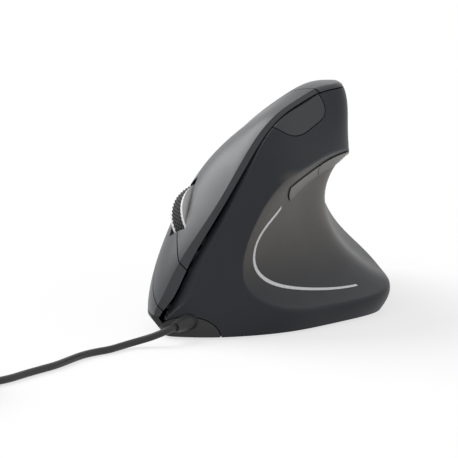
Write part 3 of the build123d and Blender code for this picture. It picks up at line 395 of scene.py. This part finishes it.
NATURAL = Finish("natural_nylon", (0.62, 0.58, 0.47), 0.45, Grain.SATIN, spread=0.1)
TINTED = Finish("tinted_epoxy", (0.5, 0.05, 0.04), 0.18, Grain.SMOOTH, coat=0.4, spread=0.08)
OPTIC = Finish("clear_optic", (0.72, 0.78, 0.8), 0.08, Grain.SMOOTH, clear=0.45, spread=0.04)
RIBBON = Finish("ribbon_laminate", (0.5, 0.48, 0.42), 0.4, Grain.LAMINATE, spread=0.1)


@dataclass
class Dresser:
    """Gives frame nodes and new pieces their finishes, each material made once."""

    nodes: dict[str, bpy.types.Object]
    made: dict[str, bpy.types.Material] = field(default_factory=dict)

    def material(self, finish: Finish) -> bpy.types.Material:
        """The finish's material, made the first time it is asked for."""
        if finish.name not in self.made:
            self.made[finish.name] = finish.make()
        return self.made[finish.name]

    def dress(self, finish: Finish, *names: str) -> None:
        """Put a finish on frame nodes.

        Args:
            finish: The finish.
            names: The nodes' names.
        """
        for name in names:
            self.paint(self.nodes[name], finish)
            log.info("%s is %s", name, finish.name)

    def paint(self, piece: bpy.types.Object, finish: Finish) -> None:
        """Put a finish on the whole of one piece, in place of what it had."""
        piece.data.materials.clear()
        piece.data.materials.append(self.material(finish))
        if piece.type == "MESH":
            for face in piece.data.polygons:
                face.material_index = 0


@dataclass
class Rig:
    """The camera at the photograph's angle, in millimetres and degrees."""

    azimuth: float = 24.0
    elevation: float = 11.0
    distance: float = 700.0
    target: Place = (-20.138, -9.296, 24.541)
    lens: float = 170.57
    sensor: float = 36.0
    nearest: float = 10.0
    furthest: float = 20000.0

    def build(self) -> None:
        """Make the camera, and set it as the scene's own."""
        back = heading(self.azimuth, self.elevation)
        data = bpy.data.cameras.new("camera")
        data.lens = self.lens
        data.sensor_width = self.sensor
        data.clip_start = self.nearest * MILLI
        data.clip_end = self.furthest * MILLI
        camera = bpy.data.objects.new("camera", data)
        camera.rotation_mode = "QUATERNION"
        camera.location = metres(self.target) + back * self.distance * MILLI
        camera.rotation_quaternion = (-back).to_track_quat("-Z", "Y")
        bpy.context.scene.collection.objects.link(camera)
        bpy.context.scene.camera = camera


@dataclass
class Studio:
    """White table, pale surroundings and one soft lamp."""

    table_half: float = 6.0
    table_bounce: Colour = (0.42, 0.42, 0.42)
    table_roughness: float = 0.85
    table_glow: float = 0.7
    room_level: Colour = (0.5, 0.5, 0.5)
    key_strength: float = 2.4
    key_angle: float = 45.0
    key_azimuth: float = -98.0
    key_elevation: float = 42.0

    def build(self) -> None:
        """Make the table, the world and the lamp."""
        scene = bpy.context.scene
        scene.view_settings.view_transform = "Standard"
        self._table(scene)
        self._room(scene)
        self._key(scene)

    def _table(self, scene: bpy.types.Scene) -> None:
        """A flat table, white where it is seen and darker in the light it gives back."""
        half = self.table_half
        corners = [(-half, -half, 0), (half, -half, 0), (half, half, 0), (-half, half, 0)]
        mesh = bpy.data.meshes.new("table")
        mesh.from_pydata(corners, [], [(0, 1, 2, 3)])
        table = bpy.data.objects.new("table", mesh)
        scene.collection.objects.link(table)
        board = Board("table_white")
        seen = board.seen()
        matt = board.node("ShaderNodeBsdfPrincipled", {}, {
            "Base Color": board.blend(seen, self.table_bounce, WHITE),
            "Roughness": self.table_roughness, "Specular IOR Level": 0.0})
        white = self._light(board, "ShaderNodeEmission", WHITE)
        glow = seen * self.table_glow
        surface = board.node("ShaderNodeMixShader", {}, {0: glow, 1: matt, 2: white})
        mesh.materials.append(board.finish(surface))

    @staticmethod
    def _light(board: Board, kind: str, colour: Colour) -> Wire:
        """A shader of the given kind that gives light of one colour at a strength of 1."""
        return board.node(kind, {}, {"Color": opaque(colour), "Strength": 1.0})

    def _room(self, scene: bpy.types.Scene) -> None:
        """Even light from all round, white where the camera sees it."""
        board = Board("room", bpy.data.worlds.new("room"))
        dim = self._light(board, "ShaderNodeBackground", self.room_level)
        white = self._light(board, "ShaderNodeBackground", WHITE)
        surface = board.node("ShaderNodeMixShader", {}, {0: board.seen(), 1: dim, 2: white})
        scene.world = board.finish(surface, Output.WORLD)

    def _key(self, scene: bpy.types.Scene) -> None:
        """One broad lamp from the upper left."""
        data = bpy.data.lights.new("key", "SUN")
        data.energy = self.key_strength
        data.angle = math.radians(self.key_angle)
        lamp = bpy.data.objects.new("key", data)
        source = heading(self.key_azimuth, self.key_elevation)
        lamp.rotation_mode = "QUATERNION"
        lamp.rotation_quaternion = source.to_track_quat("Z", "Y")
        scene.collection.objects.link(lamp)


@dataclass
class Cord:
    """The free cord: out of the strain relief, over the table, round its tied coil, to the plug."""

    diameter: float = 2.2
    length: float = 1537.0
    exit: Place = (-13.1, -64.99, 4.92)
    lead: tuple[Place, ...] = (
        (-13.75, -67.5, 4.71), (-15.6, -69.6, 3.8), (-18.0, -71.4, 2.8), (-20.6, -73.2, 2.0),
        (-22.9, -75.8, 1.4), (-24.4, -79.4, 1.15), (-25.5, -83.6, 1.1), (-27.4, -86.9, 1.1),
        (-29.2, -90.6, 1.1), (-30.2, -95.0, 1.1), (-30.7, -100.6, 1.1), (-31.3, -106.4, 1.1),
        (-33.0, -112.2, 1.1), (-34.7, -118.4, 1.1), (-36.0, -124.9, 1.1), (-38.2, -130.6, 1.3),
        (-40.9, -135.2, 1.6), (-42.0, -139.4, 1.7), (-42.0, -143.0, 1.7),
    )
    coil_centre: tuple[float, float] = (-60.0, -145.2)
    coil_height: float = 1.7
    coil_radius: float = 18.0
    coil_turns: float = 4.5
    coil_layers: int = 4
    coil_pitch: float = 2.72
    climb_aside: float = 0.3
    points_per_turn: int = 16
    tail: tuple[Place, ...] = ((-42.8, -156.5, 11.2), (-46.7, -159.5, 13.7))
    tail_first_run: float = 4.6
    tail_last_run: float = 5.0
    plug: tuple[float, float] = (-62.3, -157.9)
    plug_height: float = 7.4
    plug_gap: float = 0.3
    plug_neck: float = 6.0
    plug_heading: tuple[float, float] = (-0.970, 0.242)
    round_resolution: int = 5
    length_resolution: int = 4

    def coil(self) -> Iterator[Place]:
        """Points round the coil, in and out layer by layer.

        Yields:
            Places in millimetres, points_per_turn to each turn.
        """
        climb = self.points_per_turn // 2
        radius = self.coil_radius
        height = self.coil_height
        count = 0
        for layer in range(self.coil_layers):
            way = -1 if layer % 2 == 0 else 1
            last = layer == self.coil_layers - 1
            steps = round(self.coil_turns * self.points_per_turn) - (0 if last else climb)
            for _ in range(steps):
                yield self._on_coil(radius, height, count)
                radius += way * self.coil_pitch / self.points_per_turn
                count += 1
            if last:
                continue
            for step in range(climb):
                share = step / climb
                aside = way * self.coil_pitch * self.climb_aside * math.sin(math.pi * share)
                rise = self.coil_pitch * share * share * (3 - 2 * share)
                yield self._on_coil(radius + aside, height + rise, count)
                count += 1
            height += self.coil_pitch
        yield self._on_coil(radius, height, count)

    def _on_coil(self, radius: float, height: float, count: int) -> Place:
        """A place on the coil after count steps of its turns."""
        turn = 2 * math.pi * count / self.points_per_turn
        x, y = self.coil_centre
        return (x + radius * math.cos(turn), y - radius * math.sin(turn), height)

    def route(self) -> list[Vector]:
        """The cord's whole line.

        Returns:
            Control points in metres, from the strain relief to the plug's neck.
        """
        coil = list(self.coil())
        end = coil[-1]
        after = (end[0], end[1] - self.diameter - self.tail_first_run, end[2])
        plug_z = end[2] + self.diameter / 2 + self.plug_gap + self.plug_height / 2
        neck = [p - self.plug_neck * h for p, h in zip(self.plug, self.plug_heading)]
        before = [p - self.tail_last_run * h for p, h in zip(neck, self.plug_heading)]
        plug_end = ((*before, plug_z), (*neck, plug_z))
        points = [self.exit, *self.lead, *coil, after, *self.tail, *plug_end]
        return [metres(point) for point in points]

    def build(self, dresser: Dresser) -> None:
        """Args:
            dresser: Gives it its finish.
        """
        data = bpy.data.curves.new("cord", "CURVE")
        data.dimensions = "3D"
        data.bevel_depth = self.diameter / 2 * MILLI
        data.bevel_resolution = self.round_resolution
        data.resolution_u = self.length_resolution
        data.use_fill_caps = True
        spline = data.splines.new("NURBS")
        route = self.route()
        spline.points.add(len(route) - 1)
        for point, place in zip(spline.points, route):
            point.co = (*place, 1.0)
        spline.order_u = 3
        spline.use_endpoint_u = True
        cord = bpy.data.objects.new("cord", data)
        bpy.context.scene.collection.objects.link(cord)
        dresser.paint(cord, CORD)
        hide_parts("cord_lead", "cord_coil", "cord_tail")
        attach(cord, "chassis")
        metres(self.exit)
        log.info("cord of %d points", len(route))

    def dress(self, dresser: Dresser) -> None:
        """Finish the cord's solids, strain relief, tie and plug."""
        dresser.dress(CORD, "strain_relief", "inner_lead", "cord_lead", "cord_coil", "cord_tail",
                      "cord_tie")
        dresser.dress(PLUG, "plug_body")
        dresser.dress(STEEL, "plug_shell")
        dresser.dress(CASE, "plug_insert")


@dataclass
class Shell:
    """Outer skins, stripe, small buttons and feet."""

    smooth_angle: float = 30.0

    def dress(self, dresser: Dresser) -> None:
        """Finish the skins and what shows on them."""
        dresser.dress(THUMB_SIDE, "thumb_shell")
        dresser.dress(SHELL, "palm_shell", "left_button", "right_button", "dpi_button")
        dresser.dress(SIDE_BUTTON, "forward_button", "back_button")
        dresser.dress(BASE, "base_tray")
        dresser.dress(STRIPE, "trim_strip")
        dresser.dress(FOOT, "nose_foot", "thumb_foot", "heel_foot", "edge_foot")

    def smooth(self, nodes: dict[str, bpy.types.Object]) -> None:
        """Shade every node's curved faces smoothly, but keep edges over smooth_angle sharp."""
        for piece in nodes.values():
            piece.data.shade_smooth()
            piece.data.set_sharp_from_angle(angle=math.radians(self.smooth_angle))


@dataclass
class Wheel:
    """Scroll wheel with a cross-knurled tyre, its carrier and its light pair."""

    centre: Place = (-14.699, -37.57, 32.793)
    forward: Place = (0.0749, -0.696, -0.7141)
    axle: Place = (0.7792, -0.406, 0.4775)
    outward: Place = (-0.6223, -0.5922, 0.5119)
    radius: float = 12.0
    inner_radius: float = 9.05
    half_width: float = 2.28
    crown: float = 0.2
    knurl_depth: float = 0.42
    knurls: int = 56
    knurl_pitch: float = 1.52
    steps_per_knurl: int = 10
    steps_across: int = 24

    def _knurl(self, turn: float, aside: float) -> float:
        """Height of the knurling, from 0 in a groove to 1 on a diamond's top."""
        slant = 2 * math.pi * aside / self.knurl_pitch
        first = 0.5 + 0.5 * math.cos(self.knurls * turn + slant)
        second = 0.5 + 0.5 * math.cos(self.knurls * turn - slant)
        return math.sqrt(first * second)

    def _rings(self, around: int) -> Iterator[list[Vector]]:
        """The tyre's points, in one ring of its section after another.

        Args:
            around: Number of rings round the wheel.

        Yields:
            A ring's points in metres: across the knurled face, then back along the bore.
        """
        centre, axle = Vector(self.centre), Vector(self.axle)
        forward, outward = Vector(self.forward), Vector(self.outward)
        for index in range(around):
            turn = 2 * math.pi * index / around
            spoke = forward * math.cos(turn) + outward * math.sin(turn)
            ring = []
            for step in range(self.steps_across + 1):
                aside = self.half_width * (2 * step / self.steps_across - 1)
                drop = self.crown * (aside / self.half_width) ** 2
                radius = self.radius - drop - self.knurl_depth * (1 - self._knurl(turn, aside))
                ring.append(metres(centre + spoke * radius + axle * aside))
            for aside in (self.half_width, -self.half_width):
                ring.append(metres(centre + spoke * self.inner_radius + axle * aside))
            yield ring

    def tyre(self, dresser: Dresser) -> None:
        """Make the cross-knurled tyre in place of the plainly grooved one.

        Args:
            dresser: Gives it its finish.
        """
        rings = list(self._rings(self.knurls * self.steps_per_knurl))
        size = len(rings[0])
        faces = []
        for index in range(len(rings)):
            here, there = index * size, (index + 1) % len(rings) * size
            for step in range(size):
                after = (step + 1) % size
                faces.append((here + step, there + step, there + after, here + after))
        mesh = bpy.data.meshes.new("knurled_tyre")
        mesh.from_pydata([point for ring in rings for point in ring], [], faces)
        tyre = bpy.data.objects.new("knurled_tyre", mesh)
        bpy.context.scene.collection.objects.link(tyre)
        mesh.shade_smooth()
        dresser.paint(tyre, TYRE)
        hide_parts("wheel_tyre")
        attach(tyre, "scroll_wheel")
        log.info("tyre of %d knurls", self.knurls)

    def dress(self, dresser: Dresser) -> None:
        """Finish the wheel's pieces."""
        dresser.dress(RIM, "upper_rim", "lower_rim")
        dresser.dress(HUB, "wheel_hub")
        dresser.dress(CARRIER, "wheel_carrier", "wheel_bracket")
        dresser.dress(STEEL, "wheel_axle", "carrier_pin")
        dresser.dress(TINTED, "wheel_emitter")
        dresser.dress(CASE, "wheel_receiver")


@dataclass
class Electronics:
    """Boards, switches, optics and fasteners inside."""

    switch_places: tuple[str, ...] = ("left", "right", "wheel", "dpi", "forward", "back")

    def dress(self, dresser: Dresser) -> None:
        """Finish everything inside the shells."""
        dresser.dress(BOARD, "main_board", "button_board", "dpi_board", "side_board")
        for place in self.switch_places:
            dresser.dress(CASE, place + "_switch")
            dresser.dress(NATURAL, place + "_plunger")
        dresser.dress(CASE, "sensor_chip", "led_clip")
        dresser.dress(OPTIC, "sensor_lens")
        dresser.dress(TINTED, "sensor_led")
        dresser.dress(STEEL, "ballast_plate", "board_screws", "case_screws")
        dresser.dress(NATURAL, "cable_socket")
        dresser.dress(RIBBON, "board_ribbon")


def main() -> None:
    """Load the frame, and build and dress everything."""
    logging.basicConfig(level=logging.INFO)
    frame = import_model()
    Rig().build()
    Studio().build()
    dresser = Dresser(frame["nodes"])
    cord = Cord()
    cord.build(dresser)
    cord.dress(dresser)
    shell = Shell()
    shell.dress(dresser)
    shell.smooth(frame["nodes"])
    wheel = Wheel()
    wheel.tyre(dresser)
    wheel.dress(dresser)
    Electronics().dress(dresser)


if __name__ == "__main__":
    main()
